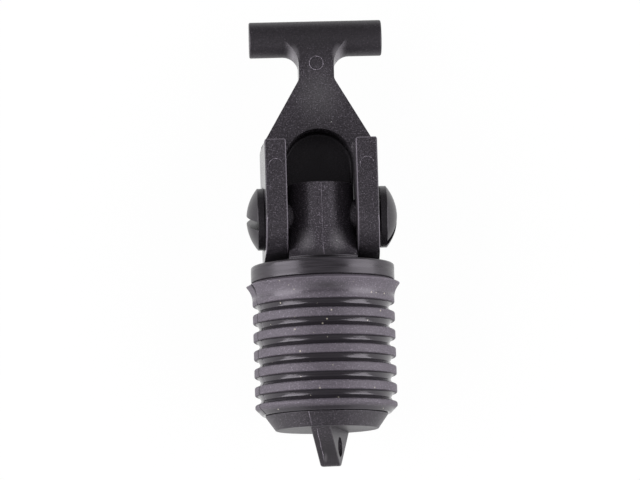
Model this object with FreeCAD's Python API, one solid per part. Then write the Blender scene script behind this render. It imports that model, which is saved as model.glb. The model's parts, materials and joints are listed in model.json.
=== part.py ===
import FreeCAD, Part

import math
import os

from FreeCAD import Vector

# Expanding drain plug with a cam lever, lying on its back.
# X runs along the lever's pivot, +Y along the plug towards the T-bar and +Z up.
# Every piece is built round the pivot and set down on the floor at the end.
# Places along the plug are heights above the pivot: below it they are negative.

# Rubber sleeve, from its lip under the collar down to its bevelled end
RIB_R = 22.45
RIB_WIDTH = 2.85
RIB_ROUND = 0.5
RIB_COUNT = 5
GROOVE_WIDTH = 2.85
GROOVE_DEPTH = 2.0
GROOVE_ROUND = 0.9
BAND_WIDTH = 7.4
LIP_REACH = 1.9
LIP_DROP = 1.0
LIP_WIDTH = 3.6
LIP_FLAT = 0.25
END_RIB_WIDTH = 3.35
END_BEVEL = 2.2
END_R = 20.3

# Pressure collar
COLLAR_R = 22.7
COLLAR_HEIGHT = 5.2
COLLAR_ROUND = 0.8
COLLAR_TRAVEL = 2.0

# Foot: tapered flange with a lanyard lug, and a hollow spigot screwed up into the post
FLANGE_R = 19.6
FLANGE_END_R = 16.2
FLANGE_HEIGHT = 4.75
SPIGOT_LENGTH = 18.0
SPIGOT_WALL = 2.4
SPIGOT_ROUND = 0.6
LUG_HEIGHT = 11.6
LUG_THICK = 6.3
LUG_BASE = 29.0
LUG_TIP = 2.5
LUG_ROUND = 1.6
LUG_EDGE = 0.6
LUG_TURN = 14.5
LUG_SHIFT = 0.85
EYE_R = 3.15
EYE_DROP = 5.6

# Post that carries the lever, over a hollow barrel that runs through the sleeve
POST_R = 10.5
POST_TOP = 10.5
POST_ROUND = 0.5
BOSS_R = 5.6
BELL_R = 15.6
BELL_LAND = 0.3
BELL_TOP = -0.8
BELL_GAP = 1.4
BARREL_R = 15.0
BARREL_WALL = 2.5
BARREL_ROUND = 0.5

# Cam lever: two cheeks under a tapered plate, neck and T-bar
CHEEK_GAP = 22.0
CHEEK_BACK_THICK = 7.6
CHEEK_FRONT_THICK = 6.7
CHEEK_TOP = 23.3
CHEEK_ROUND = 0.6
CHEEK_CORNER = 0.8
CAM_R = 12.6
CAM_EDGE = 12.3
CAM_GAP = 2.6
PLATE_BACK = -12.3
PLATE_FILLET = 2.0
PLATE_SLOPE = 30.2
NECK_WIDTH = 11.2
NECK_LOW = 45.1
BAR_HEIGHT = 58.9
BAR_R = 5.75
BAR_LENGTH = 42.4
BAR_ROUND = 0.6
NECK_FILLET = 5.0
ARCH_SPRING = 18.0
WEB_THICK = 1.6
WEB_LOW = 12.0
WEB_FILLET = 1.0
PIN_MARK_R = 2.2
PIN_MARK_DEPTH = 0.15
NECK_MARK_HEIGHT = 50.2
CHEEK_MARK_HEIGHT = 14.8

# Slotted shoulder screws in the pivot
SHOULDER_R = 5.0
THREAD_R = 4.0
THREAD_LENGTH = 8.0
HEAD_R = 9.8
HEAD_RIM = 2.0
HEAD_DOME = 3.5
HEAD_ROUND = 0.3
SLOT_WIDTH = 2.6
SLOT_DEPTH = 3.7
LEFT_SLOT_TURN = 20.0
RIGHT_SLOT_TURN = 66.0
RIGHT_SCREW_OUT = 0.5

# Clearances between pieces
RUNNING = 0.06
SIDE_PLAY = 0.1
THREAD_PLAY = 0.05
RUBBER_PLAY = 0.3
CAM_PLAY = 0.5
CHEEK_PLAY = 0.3
HEEL_PLAY = 0.3
BARREL_REST = 3.0

# Heights of the main faces, from the pivot down
COLLAR_TOP = -(CAM_R + CAM_GAP)
SLEEVE_TOP = COLLAR_TOP - COLLAR_HEIGHT
RIB_PITCH = RIB_WIDTH + GROOVE_WIDTH
SLEEVE_LENGTH = BAND_WIDTH + GROOVE_WIDTH + RIB_COUNT * RIB_PITCH + END_RIB_WIDTH
FLANGE_TOP = SLEEVE_TOP - SLEEVE_LENGTH
FLANGE_END = FLANGE_TOP - FLANGE_HEIGHT
LUG_END = FLANGE_END - LUG_HEIGHT
BELL_END = COLLAR_TOP + BELL_GAP
BARREL_TOP = COLLAR_TOP - COLLAR_TRAVEL - HEEL_PLAY
BARREL_END = FLANGE_TOP + BARREL_REST
GROOVE_R = RIB_R - GROOVE_DEPTH
LIP_R = RIB_R + LIP_REACH
BARREL_BORE = BARREL_R - BARREL_WALL

# Depths of the lever's faces, from its flat back to the front of the cheeks
CHEEK_FRONT = -COLLAR_TOP + COLLAR_TRAVEL - CAM_PLAY
BAR_DEPTH = PLATE_BACK + BAR_R
PLATE_FRONT = BAR_DEPTH + BAR_R
WEB_FRONT = PLATE_BACK + WEB_THICK
HEEL_LOW = COLLAR_TOP + HEEL_PLAY

# Widths of the lever's pivot, from the middle outwards
CHEEK_INSIDE = CHEEK_GAP / 2
BOSS_END = CHEEK_INSIDE - SIDE_PLAY
CHEEK_BACK_HALF = CHEEK_INSIDE + CHEEK_BACK_THICK
CHEEK_FRONT_HALF = CHEEK_INSIDE + CHEEK_FRONT_THICK
DRAFT = (CHEEK_BACK_HALF - CHEEK_FRONT_HALF) / (CHEEK_FRONT - PLATE_BACK)
HEAD_SEAT_R = HEAD_R + 0.4
SEAT_FACE = CHEEK_BACK_HALF + DRAFT * PLATE_BACK - DRAFT * HEAD_SEAT_R / 2
HEAD_FACE = SEAT_FACE + SIDE_PLAY

# Place of the pivot over the middle of the floor print
BAR_TOP = BAR_HEIGHT + BAR_R
PIVOT = Vector(0, -(BAR_TOP + LUG_END) / 2, LIP_R - LIP_FLAT)

ORIGIN = Vector(0, 0, 0)
ACROSS = Vector(1, 0, 0)
ALONG = Vector(0, 1, 0)
UP = Vector(0, 0, 1)


def outline(corners):
    """Closed flat wire through (x, y, radius) corners, each rounded to its radius."""
    arcs = []
    for index, (x, y, radius) in enumerate(corners):
        here = Vector(x, y, 0)
        before = corners[index - 1]
        after = corners[(index + 1) % len(corners)]
        back = (Vector(before[0], before[1], 0) - here).normalize()
        ahead = (Vector(after[0], after[1], 0) - here).normalize()
        half = back.getAngle(ahead) / 2
        reach = radius / math.tan(half)
        middle = here
        if radius:
            bulge = radius / math.sin(half) - radius
            middle = here + (back + ahead).normalize() * bulge
        arcs.append((here + back * reach, middle, here + ahead * reach))
    edges = []
    for index, (start, middle, end) in enumerate(arcs):
        if (end - start).Length > 1e-6:
            edges.append(Part.Arc(start, middle, end).toShape())
        following = arcs[(index + 1) % len(arcs)][0]
        if (following - end).Length > 1e-6:
            edges.append(Part.LineSegment(end, following).toShape())
    return Part.Wire(edges)


def turned(wire):
    """Solid turned round the plug's axis from a wire of (radius, height)."""
    return Part.Face(wire).revolve(ORIGIN, ALONG, 360)


def slab(wire, low, high):
    """Prism of a front-view wire (x, height) between two depths."""
    face = Part.Face(wire)
    face.translate(UP * low)
    return face.extrude(UP * (high - low))


def side_prism(wire, half_width):
    """Prism of a side-view wire (depth, height), as wide as 2 half_width."""
    face = Part.Face(wire)
    face.rotate(ORIGIN, ALONG, -90)
    face.translate(ACROSS * -half_width)
    return face.extrude(ACROSS * (2 * half_width))


def pin(radius, start, end, height=0.0, depth=0.0):
    """Cylinder along the pivot's direction, from x start to x end."""
    return Part.makeCylinder(radius, end - start, Vector(start, height, depth), ACROSS)


def mirrored(half):
    """Corners of a symmetric front-view outline from those of its right half."""
    return half + [(-x, y, radius) for x, y, radius in reversed(half)]


def rubber_sleeve():
    """Ribbed rubber body: a band with a pointed lip, ribs, and a bevelled end rib.

    The soft lip has a small flat where the plug lies on it.
    """
    corners = [
        (BARREL_R + RUBBER_PLAY, SLEEVE_TOP, 0),
        (RIB_R, SLEEVE_TOP, 0),
        (LIP_R, SLEEVE_TOP - LIP_DROP, 0),
        (RIB_R, SLEEVE_TOP - LIP_WIDTH, 0.4),
        (RIB_R, SLEEVE_TOP - BAND_WIDTH, RIB_ROUND),
        (GROOVE_R, SLEEVE_TOP - BAND_WIDTH, GROOVE_ROUND),
    ]
    rib_top = SLEEVE_TOP - BAND_WIDTH - GROOVE_WIDTH
    for _ in range(RIB_COUNT):
        corners += [
            (GROOVE_R, rib_top, GROOVE_ROUND),
            (RIB_R, rib_top, RIB_ROUND),
            (RIB_R, rib_top - RIB_WIDTH, RIB_ROUND),
            (GROOVE_R, rib_top - RIB_WIDTH, GROOVE_ROUND),
        ]
        rib_top -= RIB_PITCH
    corners += [
        (GROOVE_R, rib_top, GROOVE_ROUND),
        (RIB_R, rib_top, RIB_ROUND),
        (RIB_R, FLANGE_TOP + END_BEVEL, RIB_ROUND),
        (END_R, FLANGE_TOP, 0.4),
        (BARREL_R + RUBBER_PLAY, FLANGE_TOP, 0),
    ]
    floor = Part.makeBox(
        2 * LIP_R, SLEEVE_LENGTH, LIP_R, Vector(-LIP_R, FLANGE_TOP, LIP_FLAT - 2 * LIP_R)
    )
    return turned(outline(corners)).cut(floor)


def pressure_collar():
    """Turned ring that slides on the post and squeezes the sleeve."""
    bore = BARREL_R + RUNNING
    ring = [
        (bore, COLLAR_TOP, 0.4),
        (COLLAR_R, COLLAR_TOP, COLLAR_ROUND),
        (COLLAR_R, SLEEVE_TOP, COLLAR_ROUND / 2),
        (bore, SLEEVE_TOP, 0.4),
    ]
    return turned(outline(ring))


def post():
    """Round post with a flatted bell, a cross boss, and a hollow barrel through the sleeve."""
    bell_side = BELL_END + BELL_LAND
    drop = BELL_TOP - bell_side
    spread = BELL_R - POST_R
    sweep = (drop * drop + spread * spread) / (2 * spread)
    turn = math.asin(drop / sweep) / 2
    bend = Vector(POST_R + sweep * (1 - math.cos(turn)), BELL_TOP - sweep * math.sin(turn), 0)
    path = [
        Vector(POST_R, BELL_TOP, 0),
        Vector(BELL_R, bell_side, 0),
        Vector(BELL_R, BELL_END, 0),
        Vector(BARREL_R, BELL_END, 0),
        Vector(BARREL_R, BARREL_TOP, 0),
        Vector(0, BARREL_TOP, 0),
        Vector(0, BELL_TOP, 0),
    ]
    edges = [Part.LineSegment(a, b).toShape() for a, b in zip(path[1:], path[2:] + path[:1])]
    edges.append(Part.Arc(path[0], bend, path[1]).toShape())
    bell = turned(Part.Wire(Part.__sortEdges__(edges)))
    flat = CHEEK_INSIDE - CHEEK_PLAY
    flats = Part.makeBox(2 * flat, -BARREL_TOP, 4 * BELL_R, Vector(-flat, BARREL_TOP, -2 * BELL_R))
    head = [(0, BELL_END, 0), (POST_R, BELL_END, 0), (POST_R, POST_TOP, POST_ROUND), (0, POST_TOP, 0)]
    barrel = [
        (0, BARREL_TOP, 0),
        (0, BARREL_END, 0),
        (BARREL_R, BARREL_END, BARREL_ROUND),
        (BARREL_R, BARREL_TOP, 0),
    ]
    solid = turned(outline(head)).fuse([bell.common(flats), turned(outline(barrel))])
    solid = solid.fuse(pin(BOSS_R, -BOSS_END, BOSS_END)).removeSplitter()
    core_length = BARREL_TOP - BARREL_WALL - BARREL_END
    core = Part.makeCylinder(BARREL_BORE, core_length, Vector(0, BARREL_END, 0), ALONG)
    return solid.cut([core, pin(THREAD_R + THREAD_PLAY, -BOSS_END, BOSS_END)])


def lanyard_lug():
    """Triangular lug with rounded edges and an eye, turned a little from the front."""
    grow = (LUG_BASE - LUG_TIP) / 2 / LUG_HEIGHT
    lug_half = [
        (LUG_BASE / 2 + grow, FLANGE_END + 1, 0),
        (LUG_TIP / 2, LUG_END, LUG_ROUND),
    ]
    lug = slab(outline(mirrored(lug_half)), -LUG_THICK / 2, LUG_THICK / 2)
    rims = [
        edge for edge in lug.Edges
        if edge.BoundBox.ZLength < LUG_EDGE and edge.CenterOfMass.y < FLANGE_END
    ]
    lug = lug.makeFillet(LUG_EDGE, rims)
    eye = Part.makeCylinder(
        EYE_R, 2 * LUG_THICK, Vector(0, FLANGE_END - EYE_DROP, -LUG_THICK), UP
    )
    lug = lug.cut(eye)
    lug.rotate(ORIGIN, ALONG, 90 - LUG_TURN)
    lug.translate(ACROSS * LUG_SHIFT)
    return lug


def foot():
    """Tapered flange with the lanyard lug below it and a hollow threaded spigot above."""
    spigot_r = BARREL_BORE - THREAD_PLAY
    spigot_bore = spigot_r - SPIGOT_WALL
    spigot_top = FLANGE_TOP + SPIGOT_LENGTH
    profile = [
        (0, FLANGE_TOP, 0),
        (spigot_bore, FLANGE_TOP, SPIGOT_ROUND),
        (spigot_bore, spigot_top, 0),
        (spigot_r, spigot_top, SPIGOT_ROUND),
        (spigot_r, FLANGE_TOP, 0),
        (FLANGE_R, FLANGE_TOP, 0.3),
        (FLANGE_END_R, FLANGE_END, 0.4),
        (0, FLANGE_END, 0),
    ]
    return turned(outline(profile)).fuse(lanyard_lug()).removeSplitter()


def pivot_screw(slot_turn, out=0.0):
    """Shoulder screw in the right cheek, with a domed head, one slot, and a way left to screw in."""
    cap_r = (HEAD_R ** 2 + HEAD_DOME ** 2) / (2 * HEAD_DOME)
    rim_end = HEAD_FACE + HEAD_RIM
    rim = Part.makeCylinder(HEAD_R, HEAD_RIM + HEAD_DOME, Vector(HEAD_FACE, 0, 0), ACROSS)
    ball = Part.makeSphere(cap_r, Vector(rim_end + HEAD_DOME - cap_r, 0, 0))
    head = rim.common(ball)
    corner = [
        edge for edge in head.Edges
        if edge.BoundBox.XLength < HEAD_ROUND and abs(edge.BoundBox.XMax - rim_end) < HEAD_ROUND
    ]
    head = head.makeFillet(HEAD_ROUND, corner)
    slot = Part.makeBox(
        2 * SLOT_DEPTH, SLOT_WIDTH, 4 * HEAD_R,
        Vector(rim_end + HEAD_DOME - SLOT_DEPTH, -SLOT_WIDTH / 2, -2 * HEAD_R),
    )
    slot.rotate(ORIGIN, ACROSS, slot_turn)
    shoulder = pin(SHOULDER_R, BOSS_END, HEAD_FACE)
    thread = pin(THREAD_R, BOSS_END - THREAD_LENGTH, BOSS_END)
    screw = head.cut(slot).fuse([shoulder, thread]).removeSplitter()
    screw.translate(ACROSS * out)
    return screw


def lever_front():
    """Front view of the lever: cheeks, tapered plate and neck, as one outline."""
    rise = math.tan(math.radians(90 - PLATE_SLOPE))
    shoulder = NECK_LOW - (CHEEK_BACK_HALF - NECK_WIDTH / 2) * rise
    half = [
        (CHEEK_BACK_HALF, HEEL_LOW - 1, 0),
        (CHEEK_BACK_HALF, shoulder, 1.5),
        (NECK_WIDTH / 2, NECK_LOW, 2.5),
        (NECK_WIDTH / 2, BAR_HEIGHT, 0),
    ]
    return outline(mirrored(half))


def lever_side():
    """Side view: flat back, plate, cheeks, and the cam between front face and heel."""
    cam_depth = CHEEK_FRONT - CAM_R
    edge_depth = cam_depth + math.sqrt(CAM_R ** 2 - CAM_EDGE ** 2)
    turn = math.asin(CAM_EDGE / CAM_R) / 2
    middle = Vector(cam_depth + CAM_R * math.cos(turn), -CAM_R * math.sin(turn), 0)
    cam = Part.Arc(Vector(CHEEK_FRONT, 0, 0), middle, Vector(edge_depth, -CAM_EDGE, 0)).toShape()
    path = [
        Vector(edge_depth, -CAM_EDGE, 0),
        Vector(PLATE_BACK, HEEL_LOW, 0),
        Vector(PLATE_BACK, BAR_HEIGHT, 0),
        Vector(PLATE_FRONT, BAR_HEIGHT, 0),
        Vector(PLATE_FRONT, CHEEK_TOP + PLATE_FILLET, 0),
    ]
    edges = [Part.LineSegment(a, b).toShape() for a, b in zip(path, path[1:])]
    quarter = PLATE_FILLET * (1 - math.sqrt(0.5))
    edges.append(Part.Arc(
        path[-1],
        Vector(PLATE_FRONT + quarter, CHEEK_TOP + quarter, 0),
        Vector(PLATE_FRONT + PLATE_FILLET, CHEEK_TOP, 0),
    ).toShape())
    top = [
        Vector(PLATE_FRONT + PLATE_FILLET, CHEEK_TOP, 0),
        Vector(CHEEK_FRONT, CHEEK_TOP, 0),
        Vector(CHEEK_FRONT, 0, 0),
    ]
    edges += [Part.LineSegment(a, b).toShape() for a, b in zip(top, top[1:])]
    edges.append(cam)
    return Part.Wire(Part.__sortEdges__(edges))


def lever_plan():
    """Section across the lever, drafted from its wide back to the cheeks' front."""
    half = [(CHEEK_FRONT_HALF, CHEEK_FRONT, CHEEK_ROUND), (CHEEK_BACK_HALF, PLATE_BACK, 0.4)]
    return outline(mirrored(half))


def plan_prism(wire, low, high):
    """Prism of a plan wire (x, depth) between two heights."""
    face = Part.Face(wire)
    face.rotate(ORIGIN, ACROSS, 90)
    face.translate(ALONG * low)
    return face.extrude(ALONG * (high - low))


def pocket():
    """Space between the cheeks, and the arch that it ends in through the plate."""
    crown = ARCH_SPRING + CHEEK_INSIDE
    low = 2 * HEEL_LOW
    arch = outline(mirrored([(CHEEK_INSIDE, low, 0), (CHEEK_INSIDE, crown, CHEEK_INSIDE - 0.01)]))
    space = slab(arch, WEB_FRONT, 2 * CHEEK_FRONT)
    floor = [edge for edge in space.Edges if edge.BoundBox.ZMax < WEB_FRONT + 0.01]
    between = Part.makeBox(
        CHEEK_GAP, CHEEK_TOP + 1 - low, 2 * CHEEK_FRONT, Vector(-CHEEK_INSIDE, low, PLATE_FRONT)
    )
    return space.makeFillet(WEB_FILLET, floor).fuse(between)


def neck_flare():
    """Rolling-ball fillets between the neck's sides and the T-bar."""
    side = NECK_WIDTH / 2
    far = side + NECK_FILLET
    ring = BAR_R + NECK_FILLET
    dip = NECK_FILLET * math.sqrt(0.5)
    points = [Vector(-side, ring, 0), Vector(side, ring, 0), Vector(far, BAR_R, 0)]
    points += [Vector(far, BAR_R - 1, 0), Vector(-far, BAR_R - 1, 0), Vector(-far, BAR_R, 0)]
    edges = [Part.LineSegment(points[i], points[(i + 1) % 6]).toShape() for i in (0, 2, 3, 4)]
    edges.append(Part.Arc(points[1], Vector(far - dip, ring - dip, 0), points[2]).toShape())
    edges.append(Part.Arc(points[5], Vector(dip - far, ring - dip, 0), points[0]).toShape())
    flare = Part.Face(Part.Wire(Part.__sortEdges__(edges))).revolve(ORIGIN, ACROSS, 360)
    flare.translate(Vector(0, BAR_HEIGHT, BAR_DEPTH))
    below = Part.makeBox(
        2 * far, ring, 2 * BAR_R, Vector(-far, BAR_HEIGHT - ring, PLATE_BACK)
    )
    return flare.common(below)


def cheek_corners():
    """Wall, way into the cheek and draft of the four upper corners in front of the plate."""
    outside = CHEEK_FRONT_HALF + DRAFT * (CHEEK_FRONT - PLATE_FRONT)
    right = [(outside, -1, -DRAFT), (CHEEK_INSIDE, 1, 0)]
    return right + [(-wall, -inward, -draft) for wall, inward, draft in right]


def cheek_corner(wall, inward, draft):
    """What is taken off a cheek's upper corner to round it, from the plate forwards."""
    low = CHEEK_TOP - CHEEK_CORNER
    middle = Vector(wall + inward * CHEEK_CORNER, low, 0)
    ring = middle + Vector(-inward, 1, 0).normalize() * CHEEK_CORNER
    points = [
        Vector(middle.x, CHEEK_TOP, 0),
        Vector(middle.x, CHEEK_TOP + 1, 0),
        Vector(wall - inward, CHEEK_TOP + 1, 0),
        Vector(wall - inward, low, 0),
        Vector(wall, low, 0),
    ]
    edges = [Part.LineSegment(a, b).toShape() for a, b in zip(points, points[1:])]
    edges.append(Part.Arc(points[-1], ring, points[0]).toShape())
    face = Part.Face(Part.Wire(edges))
    face.translate(UP * PLATE_FRONT)
    reach = CHEEK_FRONT - PLATE_FRONT + 1
    return face.extrude(Vector(draft * reach, 0, reach))


def lever():
    """Moulded cam lever in one piece."""
    body = slab(lever_front(), PLATE_BACK, CHEEK_FRONT)
    body = body.common(side_prism(lever_side(), 2 * CHEEK_BACK_HALF))
    body = body.common(plan_prism(lever_plan(), HEEL_LOW - 1, BAR_HEIGHT))
    behind = Part.makeBox(
        CHEEK_GAP, WEB_LOW - 2 * HEEL_LOW, 2 * WEB_THICK,
        Vector(-CHEEK_INSIDE, 2 * HEEL_LOW, PLATE_BACK - WEB_THICK / 2),
    )
    body = body.cut([pocket(), behind])
    body = body.cut([cheek_corner(*corner) for corner in cheek_corners()])
    bar = [
        (0, -BAR_LENGTH / 2, 0),
        (BAR_R, -BAR_LENGTH / 2, BAR_ROUND),
        (BAR_R, BAR_LENGTH / 2, BAR_ROUND),
        (0, BAR_LENGTH / 2, 0),
    ]
    grip = turned(outline(bar))
    grip.rotate(ORIGIN, UP, 90)
    grip.translate(Vector(0, BAR_HEIGHT, BAR_DEPTH))
    body = body.fuse([grip, neck_flare()]).removeSplitter()
    reach = 2 * CHEEK_BACK_HALF
    cuts = [pin(SHOULDER_R + RUNNING, -reach, reach)]
    cuts += [pin(HEAD_SEAT_R, SEAT_FACE, reach), pin(HEAD_SEAT_R, -reach, -SEAT_FACE)]
    cuts.append(pin_mark(0, NECK_MARK_HEIGHT, PLATE_FRONT))
    mark_x = CHEEK_INSIDE + CHEEK_FRONT_THICK / 2
    cuts += [pin_mark(side * mark_x, CHEEK_MARK_HEIGHT, CHEEK_FRONT) for side in (-1, 1)]
    return body.cut(cuts)


def pin_mark(x, height, depth):
    """Shallow round dent that an ejector pin leaves in a front face."""
    return Part.makeCylinder(PIN_MARK_R, 1, Vector(x, height, depth - PIN_MARK_DEPTH), UP)


def left_screw():
    """The right screw's mirror image, with its own slot."""
    return pivot_screw(LEFT_SLOT_TURN).mirror(ORIGIN, ACROSS)


os.makedirs("parts", exist_ok=True)
pieces = {
    "rubber_sleeve": rubber_sleeve(),
    "pressure_collar": pressure_collar(),
    "post": post(),
    "foot": foot(),
    "lever": lever(),
    "pivot_screw_left": left_screw(),
    "pivot_screw_right": pivot_screw(RIGHT_SLOT_TURN, RIGHT_SCREW_OUT),
}
for name, shape in pieces.items():
    shape.translate(PIVOT)
    shape.exportStep("parts/" + name + ".step")
    print(name, shape.ShapeType, len(shape.Solids), round(shape.Volume), shape.isValid())
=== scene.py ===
# %% [markdown]
# An expanding drain plug for a boat, lying on its back.
# A lever with a T-bar turns on two screws, its cheeks press a ring on a ribbed rubber sleeve,
# and the sleeve swells in the hull's drain tube. Every part is black, so the lesson here is
# about black: what tells moulded plastic, turned plastic and rubber apart is gloss and grain.

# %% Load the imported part
import json
import math

import bmesh
import bpy
import numpy as np
from mathutils import Matrix, Vector


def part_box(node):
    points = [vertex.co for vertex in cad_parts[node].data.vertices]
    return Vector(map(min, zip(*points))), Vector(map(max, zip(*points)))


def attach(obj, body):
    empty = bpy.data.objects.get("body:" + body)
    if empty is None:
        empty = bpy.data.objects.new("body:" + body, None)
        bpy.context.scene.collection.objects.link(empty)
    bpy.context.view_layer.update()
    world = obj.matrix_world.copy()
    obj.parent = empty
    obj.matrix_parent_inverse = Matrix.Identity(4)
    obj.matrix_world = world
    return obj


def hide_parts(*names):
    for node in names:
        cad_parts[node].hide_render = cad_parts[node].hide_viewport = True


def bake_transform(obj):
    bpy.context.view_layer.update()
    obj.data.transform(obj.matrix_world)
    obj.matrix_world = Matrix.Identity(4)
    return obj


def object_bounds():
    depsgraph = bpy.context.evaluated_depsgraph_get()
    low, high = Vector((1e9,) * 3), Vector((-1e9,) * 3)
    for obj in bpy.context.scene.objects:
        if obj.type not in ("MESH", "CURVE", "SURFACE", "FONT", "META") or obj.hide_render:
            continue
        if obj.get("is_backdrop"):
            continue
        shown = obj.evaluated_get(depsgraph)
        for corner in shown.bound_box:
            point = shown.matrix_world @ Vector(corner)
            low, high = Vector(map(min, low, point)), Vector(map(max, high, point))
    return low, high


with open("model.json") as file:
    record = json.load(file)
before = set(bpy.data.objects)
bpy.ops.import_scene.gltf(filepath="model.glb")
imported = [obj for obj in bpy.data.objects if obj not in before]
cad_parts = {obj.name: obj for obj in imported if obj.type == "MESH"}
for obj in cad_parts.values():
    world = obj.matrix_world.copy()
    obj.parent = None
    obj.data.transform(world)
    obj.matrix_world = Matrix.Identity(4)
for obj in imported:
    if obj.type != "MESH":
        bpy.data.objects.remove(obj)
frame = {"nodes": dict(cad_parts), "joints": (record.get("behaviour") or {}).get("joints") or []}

CAD_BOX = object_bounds()
MM = 0.001
PIVOT = Vector(next(j for j in frame["joints"] if j["name"] == "lever_fold")["pos_m"])
print("pivot", tuple(PIVOT), "nodes", sorted(frame["nodes"]))

# %% [markdown]
# Camera.
# The plug lies on its back and the camera looks down on it, so its length runs up the picture.
# The camera stands a little towards the foot, which shows the undersides of ring and flange,
# and a little to the left, which shows the left faces. A long lens keeps the sides parallel.
# Giving the view as three turns and a distance is easier to correct than a look-at point.

# %% Camera at the photograph's angle
IMAGE_WIDTH = 640
SENSOR_MM = 36.0
VIEW_DISTANCE = 1.2
VIEW_PITCH, VIEW_YAW, VIEW_ROLL = (math.radians(a) for a in (-7.44, 2.3, 1.70))
PIXELS_PER_METRE = 3152.0
VIEW_SHIFT = Vector((0.00030, 0.0069, -VIEW_DISTANCE))


def new_object(name, data):
    """Object that holds the data, linked into the scene."""
    made = bpy.data.objects.new(name, data)
    bpy.context.scene.collection.objects.link(made)
    return made


def make_camera():
    """Camera whose view is roll times pitch times yaw, looking at the pivot from VIEW_DISTANCE."""
    data = bpy.data.cameras.new("camera")
    data.sensor_width = SENSOR_MM
    data.lens = PIXELS_PER_METRE * VIEW_DISTANCE * SENSOR_MM / IMAGE_WIDTH
    data.clip_end = 10
    camera = new_object("camera", data)
    turn = Matrix.Rotation(VIEW_ROLL, 3, "Z") @ Matrix.Rotation(VIEW_PITCH, 3, "X")
    back = (turn @ Matrix.Rotation(VIEW_YAW, 3, "Y")).transposed()
    camera.matrix_world = Matrix.Translation(PIVOT - back @ VIEW_SHIFT) @ back.to_4x4()
    bpy.context.scene.camera = camera
    return camera


camera = make_camera()
print("camera at", tuple(round(c, 3) for c in camera.location), "lens", round(camera.data.lens, 1))

# %% [markdown]
# Node helpers.
# Every material below is a small graph, so a few helpers keep them short. One adds a node with
# its settings and inputs, where an input is either a value, which is set, or another node's
# socket, which is linked. The others are the few nodes that come back again and again.

# %% Helpers for shader graphs
def add(tree, kind, inputs=(), **settings):
    """New node of a kind, with settings as attributes and inputs as (socket, value or source)."""
    node = tree.nodes.new(kind)
    for name, value in settings.items():
        setattr(node, name, value)
    for socket, value in dict(inputs).items():
        if isinstance(value, bpy.types.NodeSocket):
            tree.links.new(value, node.inputs[socket])
        else:
            node.inputs[socket].default_value = value
    return node


def math_node(tree, operation, *values):
    """Math node's result for one to three values or sockets."""
    return add(tree, "ShaderNodeMath", enumerate(values), operation=operation).outputs[0]


def vector_node(tree, operation, *values):
    """Vector math node for one or two vectors."""
    return add(tree, "ShaderNodeVectorMath", enumerate(values), operation=operation)


def spread(tree, value, low, high, to_low=0.0, to_high=1.0):
    """Value moved from the range low..high to to_low..to_high and clamped there."""
    inputs = {0: value, 1: low, 2: high, 3: to_low, 4: to_high}
    return add(tree, "ShaderNodeMapRange", inputs).outputs[0]


def attribute(tree, name):
    """Value of a mesh attribute, 0 where the mesh has none of that name."""
    return add(tree, "ShaderNodeAttribute", attribute_name=name).outputs["Fac"]


# %% Helpers for colours and node groups
def grey(level, violet=0.0):
    """Neutral colour of a level. Violet takes some green away and adds half as much blue."""
    return (level, level * (1 - violet), level * (1 + violet / 2), 1)


def mixed(tree, share, first, second):
    """Colour between first and second by share."""
    node = add(tree, "ShaderNodeMix", {0: share, 6: first, 7: second}, data_type="RGBA")
    return node.outputs[2]


def layered(tree, colour, *layers):
    """Colour with layers (mask, colour) laid over it one after the other."""
    for mask, over in layers:
        colour = mixed(tree, mask, colour, over)
    return colour


def group(name, inputs, outputs):
    """Empty node group. A default of three numbers makes a vector socket, one makes a float."""
    tree = bpy.data.node_groups.new(name, "ShaderNodeTree")
    for way, sockets in (("INPUT", inputs), ("OUTPUT", outputs)):
        for socket, default in sockets.items():
            kind = "NodeSocketVector" if isinstance(default, tuple) else "NodeSocketFloat"
            made = tree.interface.new_socket(socket, in_out=way, socket_type=kind)
            made.default_value = default
    return tree, tree.nodes.new("NodeGroupInput"), tree.nodes.new("NodeGroupOutput")


def use(tree, made, **inputs):
    """One use of a node group. An underscore stands for the space in a socket's name."""
    sockets = {socket.replace("_", " "): value for socket, value in inputs.items()}
    return add(tree, "ShaderNodeGroup", sockets, node_tree=made)


# %% [markdown]
# Floor and light.
# The part is shown on plain white. The floor is a large pale plane that the camera and shiny
# surfaces see as nearly white, with the part's own soft shadow kept. Black plastic shows what
# it mirrors, so the lamps are two wide panels, one at each side, which draw the long streaks
# down a shiny round part. They reach down to the floor, so that faces which look sideways
# mirror white too, and they stand a little towards the foot, which draws a pair of glints in
# each groove of the sleeve.

# %% Floor
FLOOR_HALF = 3.0
FLOOR_GREY = 0.88
FLOOR_GLOW = 0.96


def make_floor():
    """Square under the part, diffuse pale grey, with extra light that only the eye sees."""
    corners = [(x, y, 0) for x, y in ((-1, -1), (1, -1), (1, 1), (-1, 1))]
    mesh = bpy.data.meshes.new("floor")
    mesh.from_pydata([Vector(c) * FLOOR_HALF for c in corners], [], [(0, 1, 2, 3)])
    floor = new_object("floor", mesh)
    material = bpy.data.materials.new("studio_floor")
    material.use_nodes = True
    tree = material.node_tree
    tree.nodes.clear()
    rays = add(tree, "ShaderNodeLightPath")
    seen = math_node(tree, "MAXIMUM", rays.outputs["Is Camera Ray"], rays.outputs["Is Glossy Ray"])
    paint = add(tree, "ShaderNodeBsdfDiffuse", {"Color": grey(FLOOR_GREY)})
    glow = add(tree, "ShaderNodeEmission", {"Color": grey(1.0), "Strength": 1.0})
    share = math_node(tree, "MULTIPLY", seen, FLOOR_GLOW)
    both = add(tree, "ShaderNodeMixShader", {0: share, 1: paint.outputs[0], 2: glow.outputs[0]})
    add(tree, "ShaderNodeOutputMaterial", {"Surface": both.outputs[0]})
    mesh.materials.append(material)
    floor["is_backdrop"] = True


make_floor()
print("floor", 2 * FLOOR_HALF, "m wide")

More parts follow.
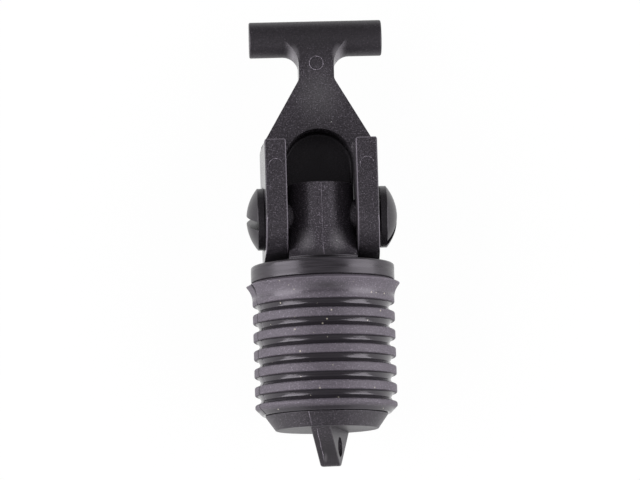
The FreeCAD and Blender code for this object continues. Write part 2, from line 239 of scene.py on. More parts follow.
# %% Lamps and world
LAMPS = {
    "left_panel": {"from": (-0.95, -0.18, 0.5), "size": (1.5, 0.96), "power": 20.0},
    "right_panel": {"from": (0.95, -0.18, 0.5), "size": (1.5, 0.96), "power": 18.0},
}
WORLD_LIGHT = 0.3


def make_lamp(name, place, size, power):
    """Rectangular panel lamp at a place, facing the part's middle."""
    data = bpy.data.lights.new(name, "AREA")
    data.shape = "RECTANGLE"
    data.size, data.size_y = size
    data.energy = power
    facing = place.to_track_quat("Z", "Y").to_matrix().to_4x4()
    new_object(name, data).matrix_world = Matrix.Translation(place) @ facing


for name, lamp in LAMPS.items():
    make_lamp(name, Vector(lamp["from"]), lamp["size"], lamp["power"])

world = bpy.data.worlds.new("studio")
bpy.context.scene.world = world
world.use_nodes = True
background = world.node_tree.nodes["Background"]
background.inputs["Color"].default_value = grey(1.0)
background.inputs["Strength"].default_value = WORLD_LIGHT
bpy.context.scene.view_settings.view_transform = "Standard"
print("lamps", len(LAMPS), "world", WORLD_LIGHT)

# %% [markdown]
# Shared surface effects.
# Moulded plastic takes the fine spark-eroded texture of its steel mould: seen close, the black
# is full of small lighter points. Every part has also picked up a little dust, and soft
# patches, lighter or darker than the rest, hold painted highlights, painted shade and a few
# marks. The three effects are node groups, so that each finish can set its own scale,
# strength and place. They put out only masks and heights, and the material does the rest.

# %% Grain and dust groups
TONE_RANGE = (0.3, 0.7)
POINT_RANGE = (0.58, 0.74)


def grain_group():
    """Mould grain: height and tone from fine noise, points where it peaks, and a faint cloud."""
    tree, start, end = group(
        "mould_grain",
        {"Scale": 3000.0, "Cloud Scale": 60.0},
        {"Height": 0.0, "Tone": 0.0, "Points": 0.0, "Cloud": 0.0},
    )
    place = add(tree, "ShaderNodeTexCoord").outputs["Object"]
    fine, cloud = (
        add(tree, "ShaderNodeTexNoise", {"Vector": place, "Scale": scale, "Detail": detail})
        for scale, detail in ((start.outputs["Scale"], 3.0), (start.outputs["Cloud Scale"], 2.0))
    )
    results = {
        "Height": fine.outputs[0],
        "Tone": spread(tree, fine.outputs[0], *TONE_RANGE),
        "Points": spread(tree, fine.outputs[0], *POINT_RANGE),
        "Cloud": cloud.outputs[0],
    }
    for socket, result in results.items():
        tree.links.new(result, end.inputs[socket])
    return tree


def dust_group():
    """Sparse pale specks: rare cells of a random pattern, each with a size of its own."""
    tree, start, end = group("dust", {"Scale": 700.0, "Amount": 0.01, "Size": 0.16}, {"Mask": 0.0})
    place = add(tree, "ShaderNodeTexCoord").outputs["Object"]
    cells = add(tree, "ShaderNodeTexVoronoi", {"Vector": place, "Scale": start.outputs["Scale"]})
    chance = add(tree, "ShaderNodeSeparateColor", {0: cells.outputs["Color"]})
    size = math_node(tree, "MULTIPLY", chance.outputs[1], start.outputs["Size"])
    near = math_node(tree, "LESS_THAN", cells.outputs["Distance"], size)
    rare = math_node(tree, "LESS_THAN", chance.outputs[0], start.outputs["Amount"])
    tree.links.new(math_node(tree, "MULTIPLY", near, rare), end.inputs["Mask"])
    return tree


GRAIN = grain_group()
DUST = dust_group()
print("groups", GRAIN.name, DUST.name)

# %% Patch group
def patch_group():
    """Soft oval mask: 1 near Centre, 0 from where the offset, divided by Reach, is 1 long."""
    sockets = {"Centre": (0.0, 0.0, 0.0), "Reach": (1.0, 1.0, 1.0)}
    tree, start, end = group("patch", sockets, {"Mask": 0.0})
    place = add(tree, "ShaderNodeTexCoord").outputs["Object"]
    offset = vector_node(tree, "SUBTRACT", place, start.outputs["Centre"]).outputs[0]
    scaled = vector_node(tree, "DIVIDE", offset, start.outputs["Reach"]).outputs[0]
    length = vector_node(tree, "LENGTH", scaled).outputs["Value"]
    tree.links.new(spread(tree, length, 1.0, 0.1), end.inputs["Mask"])
    return tree


def patch(tree, centre, reach):
    """Mask of one patch, its centre and its reach given in millimetres, from the pivot."""
    node = use(tree, PATCH, Centre=PIVOT + Vector(centre) * MM, Reach=Vector(reach) * MM)
    return node.outputs["Mask"]


PATCH = patch_group()
print("group", PATCH.name)

# %% [markdown]
# Moulded plastic.
# Lever, post, foot and screws come from the same black plastic, but their moulds differ in
# polish. One function makes the finish, and each part sets its own roughness and grain.
# The low specular level and the faint violet tint keep the black deep between the highlights.
# A part may also have patches. Lighter ones lie under the grain's points: most are painted
# highlights, and one is a scuff. Darker ones lie over them: some are painted shade, and some a
# blacker black.

# %% What every finish has
SHEEN_TINT = grey(0.95, 0.07)
VIOLET = 0.12


def new_finish(name):
    """New material with the shared sheen, its node tree and its Principled shader."""
    material = bpy.data.materials.new(name)
    material.use_nodes = True
    shader = material.node_tree.nodes["Principled BSDF"]
    shader.inputs["Specular Tint"].default_value = SHEEN_TINT
    return material, material.node_tree, shader


def connect(tree, shader, colour, rough, height, bump, depth):
    """Links colour and roughness to the shader, and height as a bump of a strength and depth."""
    inputs = {"Strength": bump, "Distance": depth, "Height": height}
    relief = add(tree, "ShaderNodeBump", inputs).outputs[0]
    sockets = {"Base Color": colour, "Roughness": rough, "Normal": relief}
    for socket, source in sockets.items():
        tree.links.new(source, shader.inputs[socket])


# %% Moulded plastic finish
MOULD_SCALE, MOULD_DEPTH, MOULD_DUST = 2800.0, 0.06 * MM, 0.012


def outward(tree):
    """Normal's x times the sign of the place's x: 1 on outer side faces, -1 on inner ones."""
    normal = add(tree, "ShaderNodeNewGeometry").outputs["True Normal"]
    place = add(tree, "ShaderNodeTexCoord").outputs["Object"]
    across, aside = (
        add(tree, "ShaderNodeSeparateXYZ", {0: vector}).outputs["X"] for vector in (normal, place)
    )
    return math_node(tree, "MULTIPLY", across, math_node(tree, "SIGN", aside))


def moulded_plastic(
    name, level, roughness, bump, points=0.12, gloss=0.45, polish=0.0, edge_highlight=0.0, patches=(),
):
    """Black plastic with mould grain as bump and light points, a cloud in the gloss, and dust.

    Polish makes outward side faces smoother, because the mould's walls are polished there so
    that the part slides out, and inward ones rougher, which the core leaves as it was eroded.
    Edges that the mesh's attribute "edge" tells are painted lighter to a level of their own, a
    painted highlight.
    Patches are places (centre and reach in mm from the pivot, level) that are lighter or darker;
    painted highlights and painted shade are among them.
    """
    material, tree, shader = new_finish(name)
    shader.inputs["Specular IOR Level"].default_value = gloss
    texture = use(tree, GRAIN, Scale=MOULD_SCALE)
    tone = texture.outputs["Tone"]
    # lighter patches, mostly painted highlights, and darker patches, some of them painted shade
    lightened, darkened = [], []
    for centre, reach, shade in patches:
        grainy = spread(tree, tone, 0, 1, 0.4, 1)
        mask = math_node(tree, "MULTIPLY", patch(tree, centre, reach), grainy)
        (lightened if shade > level else darkened).append((mask, grey(shade, 0.05)))
    colour = layered(
        tree, mixed(tree, tone, grey(level * 0.2, VIOLET), grey(level * 1.8, VIOLET)),
        *lightened,
        (texture.outputs["Points"], grey(points, VIOLET)),
        *darkened,
        # painted highlight on the lever's rounded edges
        (attribute(tree, "edge"), grey(edge_highlight, VIOLET)),
        (use(tree, DUST, Amount=MOULD_DUST).outputs["Mask"], grey(0.3)),
    )
    cloudy = spread(tree, texture.outputs["Cloud"], 0.3, 0.7, roughness * 0.92, roughness * 1.08)
    side = outward(tree)
    smoother = math_node(tree, "MULTIPLY", spread(tree, side, 0.8, 0.95), polish)
    rougher = math_node(tree, "MULTIPLY", spread(tree, side, -0.8, -0.95), 2 * polish)
    rough = math_node(tree, "ADD", math_node(tree, "SUBTRACT", cloudy, smoother), rougher)
    connect(tree, shader, colour, rough, texture.outputs["Height"], bump, MOULD_DEPTH)
    return material


# %% Blacks of the moulded parts
LEVER_PATCHES = [
    ((0.5, 39.4, -0.8), (9, 11, 3), 0.06),       # painted highlight on the plate, above the arch
    ((-7.2, 52.8, -3.5), (2.3, 4.0, 8), 0.36),   # painted highlights in the neck's fillets, where the side lamps glint
    ((7.1, 52.8, -3.5), (2.3, 4.0, 8), 0.36),
    ((2, 58.5, -6.5), (60, 11, 20), 0.004),      # the T-bar, blacker than the plate
    ((0, 18, -10.7), (24, 24, 4), 0.012),        # painted shade on the web at the back of the pocket
]
POST_PAINTED_LIGHT = [
    ((-5.4, -8.5, 12), (3.6, 5.5, 9), 0.16),     # two painted highlights on the bell's flare
    ((4.8, -8.5, 12), (3.6, 5.5, 9), 0.16),
    ((0, -14.2, 15.6), (20, 3.6, 20), 0.002),    # painted shade on the bell's rim, in the gap above the ring
]
FOOT_PATCHES = [
    ((0, -75, 6), (9, 9, 12), 0.004),            # the lug, dark but for a scuff
    ((-0.9, -76.3, 4), (0.7, 1.9, 6), 0.2),
]
# The lever's rounded edges are painted lighter, to 0.11: a painted highlight.
LEVER_BLACK = moulded_plastic(
    "lever_black", 0.023, 0.42, 0.6, points=0.13, polish=0.22, edge_highlight=0.11, patches=LEVER_PATCHES,
)
POST_BLACK = moulded_plastic("post_black", 0.041, 0.42, 0.6, points=0.24, patches=POST_PAINTED_LIGHT)
FOOT_BLACK = moulded_plastic("foot_black", 0.02, 0.44, 0.5, patches=FOOT_PATCHES)
SCREW_BLACK = moulded_plastic("screw_black", 0.009, 0.33, 0.3, points=0.04, gloss=0.52)
print("blacks", [black.name for black in (LEVER_BLACK, POST_BLACK, FOOT_BLACK, SCREW_BLACK)])

# %% [markdown]
# Post, foot and screws.
# Their shapes come from the CAD source with their small radii already on them, so only the
# finish is added here. A CAD node keeps its mesh, and the material goes in its slot.

# %% Finishes on the CAD nodes
def dress(node, material):
    """Puts a material on a CAD node."""
    mesh = frame["nodes"][node].data
    mesh.materials.clear()
    mesh.materials.append(material)
    print(node, "in", material.name)


dress("post", POST_BLACK)
dress("foot", FOOT_BLACK)
dress("pivot_screw_left", SCREW_BLACK)
dress("pivot_screw_right", SCREW_BLACK)

# %% [markdown]
# Lever.
# The front of each cheek is framed by a thin light line, because a moulded edge has a radius
# of a few tenths of a millimetre that catches the lamps. The CAD solid keeps sharp corners
# there, so a copy of it is merged, its flat faces are made whole again, and just the edges
# that frame the fronts are rounded. The rims of the shallow pin marks get a smaller share, so
# that two roundings never meet. The new faces on the framing edges carry an attribute, by
# which their colour is painted lighter: a painted highlight on top of the light the rounding
# catches. A Weighted Normal modifier keeps the large faces flat to the eye.

# %% Which of the lever's edges are rounded, and how much
EDGE_WIDTH, MARK_SHARE = 0.3 * MM, 0.3
PLATE_FRONT, CHEEK_FRONT = PIVOT.z - 0.8 * MM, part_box("lever")[1].z
FRAME_LOW = PLATE_FRONT + 2.5 * MM         # edges nearer the back than this stay sharp
CAM_LOW = PIVOT.y - 11.9 * MM              # the cheeks' fronts end here, and the cams' heels begin
SEAT_REACH = 10.6 * MM                     # the seats of the screws' heads end before this
MARK_R = 2.2 * MM
MARK_RIM, LEVEL = 0.2 * MM, 0.01 * MM      # an edge this near a mark's circle and front is its rim
CHEEK_MARK_X, CHEEK_MARK_Y, NECK_MARK_Y = 14.35 * MM, 14.8 * MM, 50.2 * MM
MARKS = [
    PIVOT + Vector((x, y, front - PIVOT.z))
    for x, y, front in (
        (-CHEEK_MARK_X, CHEEK_MARK_Y, CHEEK_FRONT),
        (CHEEK_MARK_X, CHEEK_MARK_Y, CHEEK_FRONT),
        (0, NECK_MARK_Y, PLATE_FRONT),
    )
]


def edge_share(edge):
    """Share of the bevel width that an edge of the lever gets."""
    ends = [vert.co for vert in edge.verts]
    middle = (ends[0] + ends[1]) / 2
    if any((middle - mark).length < MARK_R + MARK_RIM for mark in MARKS):
        front = min(abs(ends[0].z - mark.z) for mark in MARKS) < LEVEL
        return MARK_SHARE if front else 0.0
    framed = all(end.z > FRAME_LOW and end.y > CAM_LOW for end in ends)
    off_axis = math.hypot(middle.y - PIVOT.y, middle.z - PIVOT.z)
    return 1.0 if framed and off_axis > SEAT_REACH else 0.0


print("pin marks at", [tuple(round(c / MM, 1) for c in mark - PIVOT) for mark in MARKS])

# %% Lever with softened cheek edges
MERGE = 0.001 * MM
FLAT_ANGLE, SHARP_ANGLE = math.radians(0.4), math.radians(35)
EDGE_STEPS = 3


def softened_lever():
    """Copy of the lever's node with the edges round its front faces rounded."""
    mesh = frame["nodes"]["lever"].data.copy()
    mesh.name = "cam_lever"
    shape = bmesh.new()
    shape.from_mesh(mesh)
    bmesh.ops.remove_doubles(shape, verts=shape.verts, dist=MERGE)
    bmesh.ops.dissolve_limit(shape, angle_limit=FLAT_ANGLE, verts=shape.verts, edges=shape.edges)
    lightened = shape.faces.layers.float.new("edge")
    sharp = [edge for edge in shape.edges if edge.calc_face_angle(0) > SHARP_ANGLE]
    for share in (MARK_SHARE, 1.0):
        edges = [edge for edge in sharp if edge.is_valid and edge_share(edge) == share]
        made = bmesh.ops.bevel(
            shape, geom=edges, offset=EDGE_WIDTH * share, offset_type="OFFSET",
            segments=EDGE_STEPS, profile=0.5, affect="EDGES", clamp_overlap=False,
        )
        for face in made["faces"]:
            face[lightened] = float(share == 1.0)
    shape.to_mesh(mesh)
    shape.free()
    mesh.materials.clear()
    mesh.materials.append(LEVER_BLACK)
    mesh.shade_smooth()
    mesh.set_sharp_from_angle(angle=SHARP_ANGLE)
    piece = new_object("cam_lever", mesh)
    piece.modifiers.new("flat_faces", "WEIGHTED_NORMAL").keep_sharp = True
    return piece


lever = softened_lever()
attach(lever, "lever")
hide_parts("lever")
print("lever faces on rubbed edges", sum(v.value > 0 for v in lever.data.attributes["edge"].data))

# %% [markdown]
# Turned ring.
# The pressure ring was finished in a lathe. The tool leaves fine rings that run round the
# part, so the pattern is a noise that is stretched along the turning: it depends on the
# height and the radius, and only slowly on the angle. Dirt has gathered along the front of
# its upper edge, and there the ring is dull.

# %% Turned finish
TURN_STRETCH = 1.2 * MM                    # a full radian round the ring counts as this much
TURN_DEPTH = 0.06 * MM


def turned_plastic(name, level, roughness):
    """Semi-gloss black with rings round the plug's axis in bump, colour and gloss."""
    material, tree, shader = new_finish(name)
    place = add(tree, "ShaderNodeTexCoord").outputs["Object"]
    centred = add(tree, "ShaderNodeMapping", {0: place, 1: -PIVOT}).outputs[0]
    x, y, z = add(tree, "ShaderNodeSeparateXYZ", {0: centred}).outputs
    along = math_node(tree, "MULTIPLY", math_node(tree, "ARCTAN2", x, z), TURN_STRETCH)
    squares = [math_node(tree, "POWER", side, 2.0) for side in (x, z)]
    radius = math_node(tree, "SQRT", math_node(tree, "ADD", *squares))
    ring = add(tree, "ShaderNodeCombineXYZ", {0: along, 1: y, 2: radius}).outputs[0]
    fine, wide = (
        add(tree, "ShaderNodeTexNoise", {"Vector": ring, "Scale": scale, "Detail": detail})
        for scale, detail in ((2600.0, 4.0), (700.0, 2.0))
    )
    tone = spread(tree, fine.outputs[0], *TONE_RANGE)
    colour = layered(
        tree, mixed(tree, tone, grey(level * 0.5, VIOLET), grey(level * 1.5, VIOLET)),
        (use(tree, DUST, Amount=0.01).outputs["Mask"], grey(0.25)),
    )
    streaky = spread(tree, wide.outputs[0], 0.35, 0.65, roughness * 0.75, roughness * 1.25)
    dirt = patch(tree, (0, -15.2, 22), (18, 0.8, 8))
    rough = math_node(tree, "ADD", streaky, dirt)
    connect(tree, shader, colour, rough, fine.outputs[0], 0.6, TURN_DEPTH)
    return material


dress("pressure_collar", turned_plastic("ring_black", 0.02, 0.3))

# %% [markdown]
# Rubber sleeve.
# The sleeve is a body of revolution: one profile, turned round the axis. The real one is soft
# moulded rubber, so its ribs aren't quite alike, its edges are rounded, and a thin parting
# line of the mould runs down its side. The grooves are shaped as shallow bowls, which draws
# two thin glints in each. A surface worked out on a grid of angle and profile point can hold
# all of this, which a lathe modifier could not.

# %% Rounded profile
ARC_POINTS, PROFILE_STEP = 7, 0.6 * MM


def rounded(corners):
    """Points, at most PROFILE_STEP apart, on a polyline whose corners (a, b, radius) are arcs.

    An arc touches both legs at radius / tan(half the corner's angle) from the corner, and its
    centre lies on the bisector at radius / sin(half the angle). The two ends aren't rounded.
    """
    corners = np.array(corners, float)
    legs = []
    for before, here, after in zip(corners[:-2], corners[1:-1], corners[2:]):
        back = (before - here)[:2] / np.linalg.norm((before - here)[:2])
        ahead = (after - here)[:2] / np.linalg.norm((after - here)[:2])
        half = math.acos(np.clip(back @ ahead, -1, 1)) / 2
        bisector = (back + ahead) / np.linalg.norm(back + ahead)
        middle = here[:2] + bisector * here[2] / math.sin(half)
        start = here[:2] + back * here[2] / math.tan(half) - middle
        end = here[:2] + ahead * here[2] / math.tan(half) - middle
        sweep = math.pi - 2 * half
        share = np.linspace(0, 1, ARC_POINTS)[:, None]
        arc = (np.sin((1 - share) * sweep) * start + np.sin(share * sweep) * end) / math.sin(sweep)
        legs.append(middle + arc)
    points = np.concatenate([corners[:1, :2], *legs, corners[-1:, :2]])
    filled = [points[:1]]
    for start, end in zip(points[:-1], points[1:]):
        count = max(1, math.ceil(np.linalg.norm(end - start) / PROFILE_STEP))
        filled.append(start + (end - start) * np.linspace(0, 1, count + 1)[1:, None])
    return np.concatenate(filled)


# %% Profile of the sleeve
SLEEVE_LOW, SLEEVE_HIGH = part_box("rubber_sleeve")
SLEEVE_LENGTH = SLEEVE_HIGH.y - SLEEVE_LOW.y
LIP_R = (SLEEVE_HIGH.x - SLEEVE_LOW.x) / 2
RIB_R, GROOVE_R, BORE_R = 22.45 * MM, 20.45 * MM, 15.3 * MM
RIB_WIDTH, GROOVE_WIDTH, RIB_COUNT = 2.85 * MM, 2.85 * MM, 5
BAND_WIDTH, LIP_DROP, LIP_WIDTH, LIP_ROOT = 7.4 * MM, 1.0 * MM, 3.6 * MM, 6.5 * MM
END_BEVEL, END_R = 2.2 * MM, 20.3 * MM
TOP_R, TOP_ROUND, LIP_ROUND, END_ROUND = RIB_R - 0.4 * MM, 0.1 * MM, 0.12 * MM, 0.4 * MM
RIB_ROUND, FLOOR_ROUND = 0.5 * MM, 0.8 * MM
BOWL_RISE, BOWL_ROUND = 0.8 * MM, 0.6 * MM
NEAR = 0.1 * MM                            # how close to a radius counts as on it


def groove(top):
    """Corners of a groove whose top is at a distance down: walls, and a floor shaped as a bowl."""
    edge, middle, low = GROOVE_R + BOWL_RISE, top + GROOVE_WIDTH / 2, top + GROOVE_WIDTH
    return [
        (RIB_R, top, RIB_ROUND), (edge, top, FLOOR_ROUND), (GROOVE_R, middle, BOWL_ROUND),
        (edge, low, FLOOR_ROUND), (RIB_R, low, RIB_ROUND),
    ]


def sleeve_profile():
    """Profile (radius, distance below the sleeve's top) from the bore round the outside."""
    corners = [
        (BORE_R, 0, 0),
        (TOP_R, 0, TOP_ROUND),
        (LIP_R, LIP_DROP, LIP_ROUND),
        (RIB_R, LIP_WIDTH, LIP_ROOT),
    ]
    for rib in range(RIB_COUNT + 1):
        corners += groove(BAND_WIDTH + rib * (RIB_WIDTH + GROOVE_WIDTH))
    corners += [
        (RIB_R, SLEEVE_LENGTH - END_BEVEL, RIB_ROUND),
        (END_R, SLEEVE_LENGTH, END_ROUND),
        (BORE_R, SLEEVE_LENGTH, 0),
    ]
    return rounded(corners)


PROFILE = sleeve_profile()
print("sleeve profile", len(PROFILE), "points")

# %% Angles round the sleeve
AROUND = 220
PARTING = [math.radians(-71), math.radians(109)]
LINE_SPAN, LINE_STEPS = math.radians(1.6), 17


def sleeve_angles():
    """Even angles from the front, and fine ones across the two parting lines."""
    even = np.linspace(-math.pi, math.pi, AROUND, endpoint=False)
    fine = np.linspace(-LINE_SPAN, LINE_SPAN, LINE_STEPS)
    return np.sort(np.concatenate([even, *(fine + line for line in PARTING)]))


ANGLES = sleeve_angles()
print("angles", len(ANGLES))

# %% Sleeve's surface
FURROW_WIDTH, FURROW_DEPTH = math.radians(0.6), 0.25 * MM
STEP_TURN, STEP_OUT = math.radians(0.4), 0.08 * MM
SLIT_WIDTH, SLIT_DEPTH, SLIT_TURN = math.radians(0.8), 1.1 * MM, math.radians(0.6)
HANG, HANG_TURN = 0.35 * MM, math.radians(8)
SWAY, SWAY_END = 0.035 * MM, SLEEVE_LENGTH - 1.5 * MM
SWAY_WAVES = ((1.0, 2, 700), (0.6, 5, 1900))   # share, waves round, radians per metre down


def bell(distance, width):
    """Smooth bump of height 1: e to the minus square of distance over width."""
    return np.exp(-((distance / width) ** 2))


def sleeve_points():
    """Grid of the sleeve: x = r sin(angle), y = top - distance, z = r cos(angle).

    What would be under the floor is flat on it. The radius loses a fine furrow along each parting
    line, and the half behind the left line stands out by a step. The lip is slit there, its edge
    behind the slit hangs a little, and the ribs wander by a few hundredths of a millimetre.
    """
    angle = ANGLES[None, :]
    radius, down = PROFILE[:, :1], PROFILE[:, 1:]
    outer = radius > BORE_R + NEAR
    lip = np.clip((radius - RIB_R) / (LIP_R - RIB_R), 0, 1)
    furrow = sum(bell(angle - line, FURROW_WIDTH) for line in PARTING)
    behind = np.clip((PARTING[0] - angle) / STEP_TURN, 0, 1) * (angle > PARTING[1] - math.pi)
    radius = radius - outer * furrow * FURROW_DEPTH + outer * behind * STEP_OUT * (1 - lip)
    radius = radius - lip * SLIT_DEPTH * bell(angle - PARTING[0] - SLIT_TURN, SLIT_WIDTH)
    sway = sum(size * np.sin(turns * angle + rate * down) for size, turns, rate in SWAY_WAVES)
    down = down + outer * SWAY * sway * (down > LIP_WIDTH) * (down < SWAY_END)
    down = down + HANG * lip * bell(angle - PARTING[0] + HANG_TURN, HANG_TURN)
    x = PIVOT.x + radius * np.sin(angle)
    y = SLEEVE_HIGH.y - down + 0 * angle
    z = np.maximum(PIVOT.z + radius * np.cos(angle), 0)
    return np.stack([x, y, z], axis=-1)


# %% Sleeve's mesh
def grid_mesh(name, points, close_along=True):
    """Object of a grid of points [along, around, 3]: quads between neighbours, closed around."""
    rows, columns = points.shape[:2]
    mesh = bpy.data.meshes.new(name)
    index = np.arange(rows * columns).reshape(rows, columns)
    if close_along:
        index = np.concatenate([index, index[:1]])
    index = np.concatenate([index, index[:, :1]], axis=1)
    quads = np.stack([index[:-1, :-1], index[1:, :-1], index[1:, 1:], index[:-1, 1:]], axis=-1)
    mesh.from_pydata(points.reshape(-1, 3), [], quads.reshape(-1, 4).tolist())
    mesh.shade_smooth()
    return new_object(name, mesh)


sleeve = grid_mesh("ribbed_sleeve", sleeve_points())
print("sleeve", len(sleeve.data.polygons), "faces")

# %% Where the sleeve takes painted shade (grooves, lip root, parting lines), gloss, and painted light (lip)
LINE_SHADE, LINE_SPREAD = 1.5, 1.3
ROOT_DROP, ROOT_SPAN, ROOT_SHADE, ROOT_SHEEN = LIP_WIDTH + 1.7 * MM, 0.9 * MM, 0.25, 0.8
GROOVE_EDGE, GROOVE_FADE = RIB_R - 0.3 * MM, 1.0 * MM
LIP_FADE, LIP_END = 0.3 * MM, 1.2 * LIP_DROP


def sleeve_masks():
    """Masks by name, from 0 to 1: each falls off over the radius, the height or the angle."""
    radius, down = PROFILE[:, :1], PROFILE[:, 1:]
    root = bell(down - ROOT_DROP, ROOT_SPAN) * (radius > RIB_R - NEAR)
    inside = np.clip((GROOVE_EDGE - radius) / GROOVE_FADE, 0, 1)
    lines = sum(bell(ANGLES[None, :] - line, FURROW_WIDTH * LINE_SPREAD) for line in PARTING)
    return {
        # painted shade: full in the grooves, a quarter in the lip's root
        "groove": np.maximum(inside, ROOT_SHADE * root),
        "sheen": np.maximum(inside, ROOT_SHEEN * root),
        # painted light on the lip's upward slope
        "lip": np.clip((radius - RIB_R) / LIP_FADE, 0, 1) * (down < LIP_END),
        # painted shade in the furrows of the parting lines
        "parting_shade": np.clip(LINE_SHADE * lines, 0, 1),
    }


for name, mask in sleeve_masks().items():
    values = np.broadcast_to(mask, (len(PROFILE), len(ANGLES))).astype(np.float32)
    layer = sleeve.data.attributes.new(name, "FLOAT", "POINT")
    layer.data.foreach_set("value", values.ravel())
    print(name, "covers", round(float(values.mean()), 3))

# %% Rubber finish
RUBBER_SCALE, RUBBER_CLOUD, RUBBER_DEPTH = 2600.0, 110.0, 0.04 * MM
RIB_ROUGH, GROOVE_ROUGH, RUBBER_VIOLET = 0.6, 0.17, 0.14


def rubber(name):
    """Matt grey-black ribs, shiny grooves, painted light on the lip, and painted shade in the
    grooves, along the parting lines and under the lip.
    """
    material, tree, shader = new_finish(name)
    shader.inputs["Specular IOR Level"].default_value = 0.62
    texture = use(tree, GRAIN, Scale=RUBBER_SCALE, Cloud_Scale=RUBBER_CLOUD)
    cloud = spread(tree, texture.outputs["Cloud"], 0.3, 0.7)
    painted_shade = patch(tree, (0.5, -24, 22), (10, 1.9, 9))
    dusty = use(tree, DUST, Amount=0.12, Size=0.22)
    dark, light = grey(0.034, RUBBER_VIOLET), grey(0.09, RUBBER_VIOLET)
    colour = layered(
        tree, mixed(tree, texture.outputs["Tone"], dark, light),
        (math_node(tree, "MULTIPLY", cloud, 0.3), grey(0.089, RUBBER_VIOLET)),
        (texture.outputs["Points"], grey(0.22, RUBBER_VIOLET)),
        # painted light on the lip's upward slope, uneven with the cloud
        (math_node(tree, "MULTIPLY", attribute(tree, "lip"), cloud), grey(0.12, RUBBER_VIOLET)),
        # painted shade in the grooves and the lip's root
        (attribute(tree, "groove"), grey(0.018, 0.12)),
        # painted shade in the furrows of the parting lines
        (attribute(tree, "parting_shade"), grey(0.008, 0.1)),
        # painted shade in the middle of the band under the lip
        (math_node(tree, "MULTIPLY", painted_shade, 0.85), grey(0.012, 0.1)),
        (dusty.outputs["Mask"], (0.34, 0.31, 0.26, 1)),
    )
    rough = spread(tree, attribute(tree, "sheen"), 0, 1, RIB_ROUGH, GROOVE_ROUGH)
    connect(tree, shader, colour, rough, texture.outputs["Height"], 0.5, RUBBER_DEPTH)
    return material


sleeve.data.materials.append(rubber("sleeve_rubber"))
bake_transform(sleeve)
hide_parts("rubber_sleeve")
print("sleeve in", sleeve.data.materials[0].name)

# %% [markdown]
# Mould lines and pin flash.
# Where the halves of a mould meet, the plastic creeps into the joint and leaves a fine seam:
# down the front of the post, and down the cone and the lug of the foot. Round each ejector
# pin it leaves a thin raised ring. A bump map can't cast their glint, and they are thinner
# than any CAD detail, so each is a bead: a flat oval section carried along a path.

# %% Beads along a path
BEAD_SIDES, DRAW_EVERY = 8, 6
# The beads are painted far lighter than the parts' black: a painted highlight along the seams and
# the pin rings, on top of the glint their shape catches.
SEAM_PAINTED_LIGHT = moulded_plastic("seam_painted_light", 0.15, 0.4, 0.4, points=0.4)


def bead(name, path, widths, heights, body):
    """Tube of oval section: point = path + side * w cos(t) + out * h sin(t).

    Side is the path's direction turned a quarter round Z, and out is square to both.
    """
    path = np.asarray(path, float)
    ahead = np.gradient(path, axis=0)
    ahead /= np.linalg.norm(ahead, axis=1)[:, None]
    side = np.cross(ahead, (0, 0, 1))
    side /= np.linalg.norm(side, axis=1)[:, None]
    out = np.cross(side, ahead)
    turn = np.linspace(0, 2 * math.pi, BEAD_SIDES, endpoint=False)[None, :, None]
    widths, heights = (np.asarray(v, float)[:, None, None] for v in (widths, heights))
    points = path[:, None] + side[:, None] * widths * np.cos(turn)
    points = points + out[:, None] * heights * np.sin(turn)
    piece = grid_mesh(name, points[:, ::-1], close_along=False)
    piece.data.materials.append(SEAM_PAINTED_LIGHT)
    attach(piece, body)
    print(name, len(piece.data.polygons), "faces")


def uneven(count, low, seed):
    """Smooth random factors between low and 1, from a seeded draw for every few points."""
    draw = np.random.default_rng(seed).uniform(low, 1, count // DRAW_EVERY + 2)
    return np.interp(np.linspace(0, len(draw) - 1, count), np.arange(len(draw)), draw)


# %% Seam down the front of the post
SEAM_WIDTH, SEAM_HEIGHT = 0.13 * MM, 0.09 * MM
POST_R, BELL_R = 10.5 * MM, 15.6 * MM
POST_TOP, BELL_TOP, BELL_SIDE = 10.0 * MM, -0.8 * MM, -13.5 * MM
POST_STEPS, POST_WAVES = 90, ((0.05 * MM, 900), (0.03 * MM, 2300))   # size, radians per metre


def seam(name, path, low, seed):
    """Bead on the plug's body, its size uneven between full and a low share."""
    factor = uneven(len(path), low, seed)
    bead(name, path, SEAM_WIDTH * factor, SEAM_HEIGHT * factor, "plug")


def post_front(height):
    """Radius of the post at a height over the pivot: straight, then an arc out to the bell."""
    drop, reach = BELL_TOP - BELL_SIDE, BELL_R - POST_R
    sweep = (drop ** 2 + reach ** 2) / (2 * reach)
    below = np.clip(BELL_TOP - height, 0, drop)
    return POST_R + sweep - np.sqrt(sweep ** 2 - below ** 2)


def post_seam_path():
    """Path down the post's front line, from its top radius to the rim of the bell."""
    height = np.linspace(POST_TOP, BELL_SIDE, POST_STEPS)
    wander = sum(size * np.sin(height * rate) for size, rate in POST_WAVES)
    return np.stack([PIVOT.x + wander, PIVOT.y + height, PIVOT.z + post_front(height)], axis=-1)


seam("post_seam", post_seam_path(), 0.25, 3)

# %% Seams of the foot
FLANGE_R, FLANGE_END_R, FLANGE_HEIGHT = 19.6 * MM, 16.2 * MM, 4.75 * MM
LUG_HALF, LUG_TIP_HALF, LUG_HEIGHT, LUG_SHIFT = 14.5 * MM, 1.25 * MM, 11.6 * MM, 0.85 * MM
LUG_TURN, CONE_TURN = math.radians(14.5), math.radians(-19)
CONE_RUN, LUG_RUN = (0.08, 0.92, 24), (0.04, 0.84, 48)   # first and last share, and the points
SEAM_ASIDE, SEAM_LEAN, SEAM_WAVE, SEAM_WAVES = -1.15 * MM, -0.3 * MM, 0.05 * MM, 21


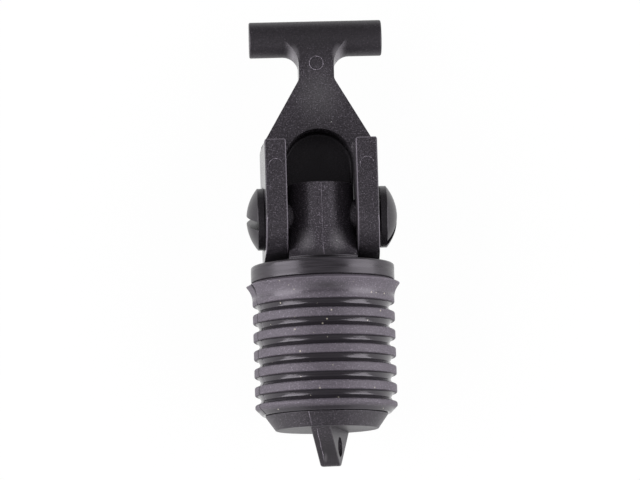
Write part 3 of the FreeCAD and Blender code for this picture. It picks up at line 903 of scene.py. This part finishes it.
def cone_seam_path():
    """Path down the flange's cone on a meridian: radius falls evenly with the distance."""
    share = np.linspace(*CONE_RUN)
    radius = FLANGE_R + (FLANGE_END_R - FLANGE_R) * share
    return np.stack([
        PIVOT.x + radius * math.sin(CONE_TURN),
        SLEEVE_LOW.y - FLANGE_HEIGHT * share,
        PIVOT.z + radius * math.cos(CONE_TURN),
    ], axis=-1)


def lug_seam_path():
    """Path down the lug's narrow front face, off its middle by a share of the thickness."""
    share = np.linspace(*LUG_RUN)
    reach = LUG_HALF + (LUG_TIP_HALF - LUG_HALF) * share
    aside = SEAM_ASIDE + SEAM_LEAN * share + SEAM_WAVE * np.sin(share * SEAM_WAVES)
    return np.stack([
        PIVOT.x - reach * math.sin(LUG_TURN) + aside * math.cos(LUG_TURN) + LUG_SHIFT,
        SLEEVE_LOW.y - FLANGE_HEIGHT - LUG_HEIGHT * share,
        PIVOT.z + reach * math.cos(LUG_TURN) + aside * math.sin(LUG_TURN),
    ], axis=-1)


seam("cone_seam", cone_seam_path(), 0.4, 5)
seam("lug_seam", lug_seam_path(), 0.4, 7)

# %% Rings round the pin marks
RING_WIDTH, RING_HEIGHT, RING_STEPS, RING_TIP = 0.13 * MM, 0.08 * MM, 64, 0.05


def pin_ring(name, mark, first, last, seed):
    """Bead on the rim of a pin mark from one angle to another, thinning out at open ends."""
    turn = np.radians(np.linspace(first, last, RING_STEPS))
    path = np.stack([
        mark.x + MARK_R * np.cos(turn), mark.y + MARK_R * np.sin(turn), mark.z + 0 * turn,
    ], axis=-1)
    closed = last - first >= 360
    fade = 1.0 if closed else np.sin(np.linspace(RING_TIP, math.pi - RING_TIP, RING_STEPS))
    factor = uneven(RING_STEPS, 0.5, seed) * fade
    bead(name, path, RING_WIDTH * factor, RING_HEIGHT * factor, "lever")


pin_ring("pin_ring_left", MARKS[0], 10, 185, 11)
pin_ring("pin_ring_right", MARKS[1], 5, 235, 13)
pin_ring("pin_ring_neck", MARKS[2], 0, 360, 17)

# %% Sizes before and after, and the end
LOOKS_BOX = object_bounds()
grown = [[round((a - b) / MM, 2) for a, b in zip(p, q)] for p, q in zip(LOOKS_BOX, CAD_BOX)]
print("box grows by", grown, "mm")
